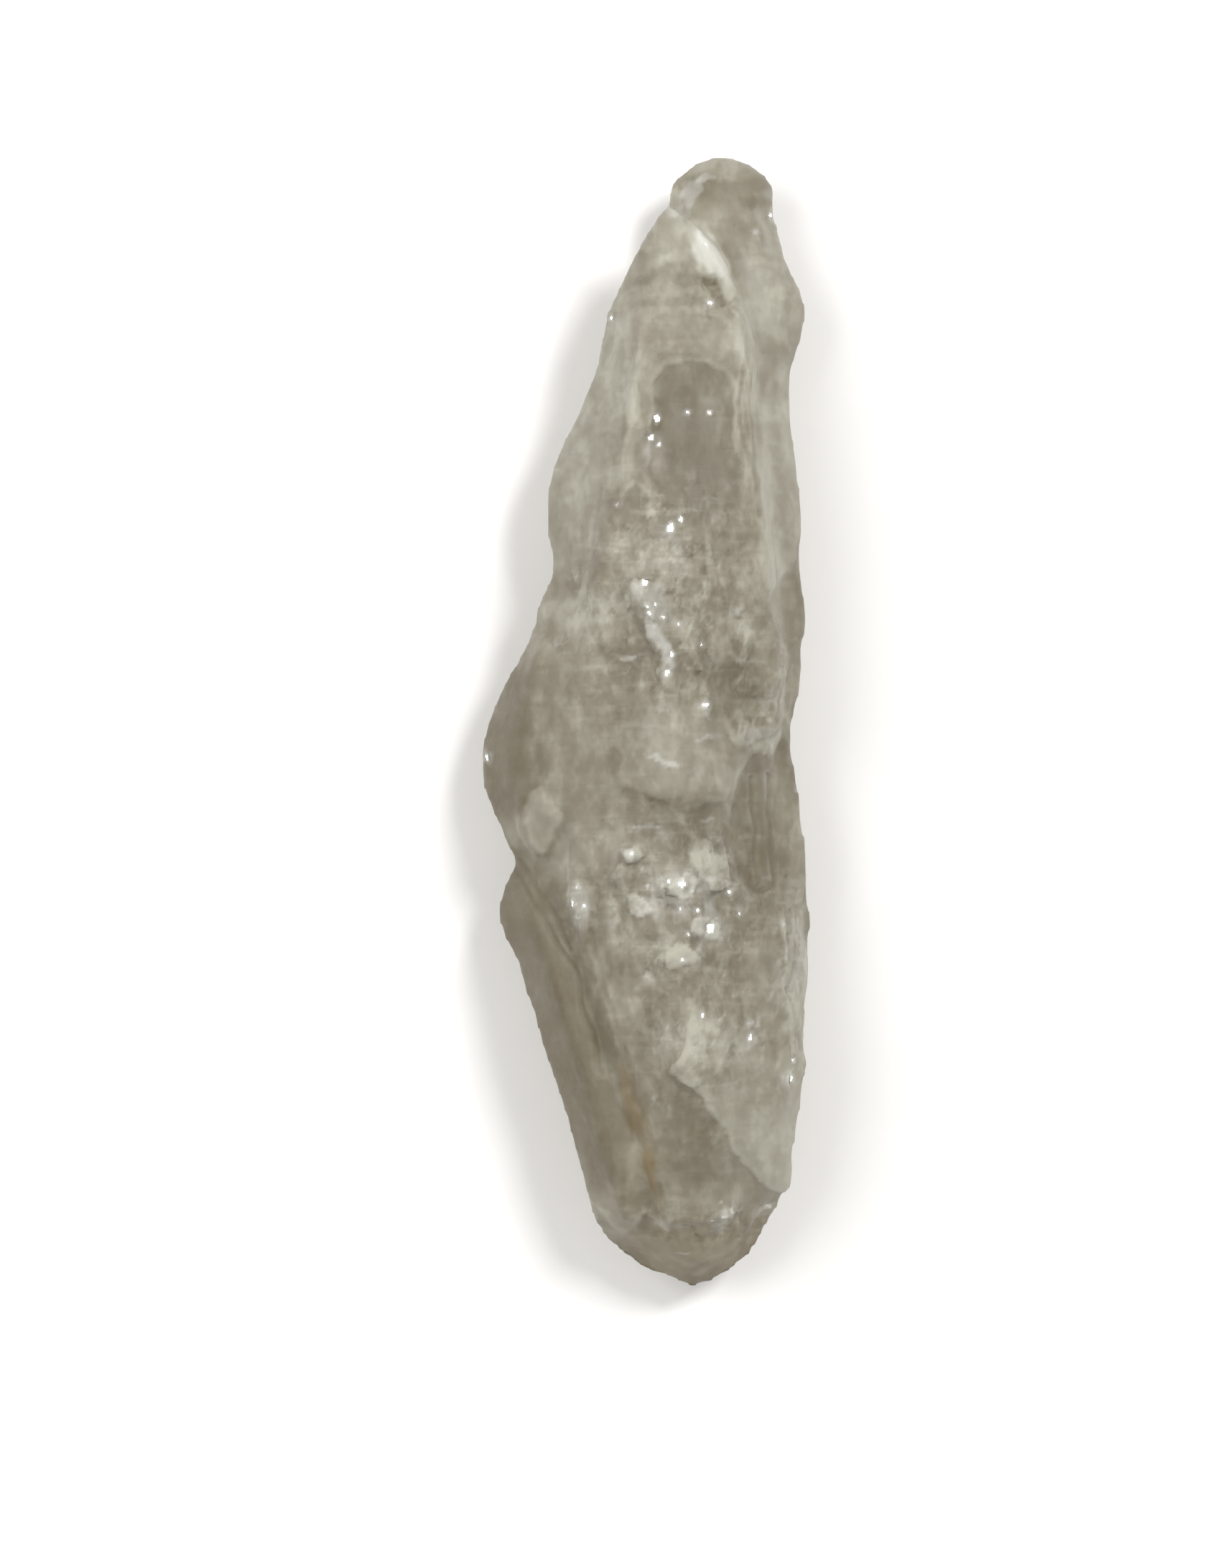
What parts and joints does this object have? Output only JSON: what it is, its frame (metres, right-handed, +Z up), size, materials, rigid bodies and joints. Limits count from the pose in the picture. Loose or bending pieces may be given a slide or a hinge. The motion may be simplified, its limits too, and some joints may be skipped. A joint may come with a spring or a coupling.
{
  "type": "rough prasiolite crystal",
  "caption": "Long, rough, etched crystal of pale green quartz with a pointed termination, a clear rounded lobe under it and a broken base, lying on a flat prism face.",
  "frame": {"origin": "middle of the crystal's bounding box in plan, on the surface that it lies on", "axes": "+Y along the crystal from the broken base to the termination, +Z up, away from the prism face that it lies on"},
  "size_m": [0.021, 0.072, 0.0146],
  "materials": {
    "quartz": "pale grey-green quartz, cloudy inside, part glossy and part frosted by etching"
  },
  "bodies": {
    "root": {"prasiolite_crystal": "quartz"}
  },
  "joints": []
}
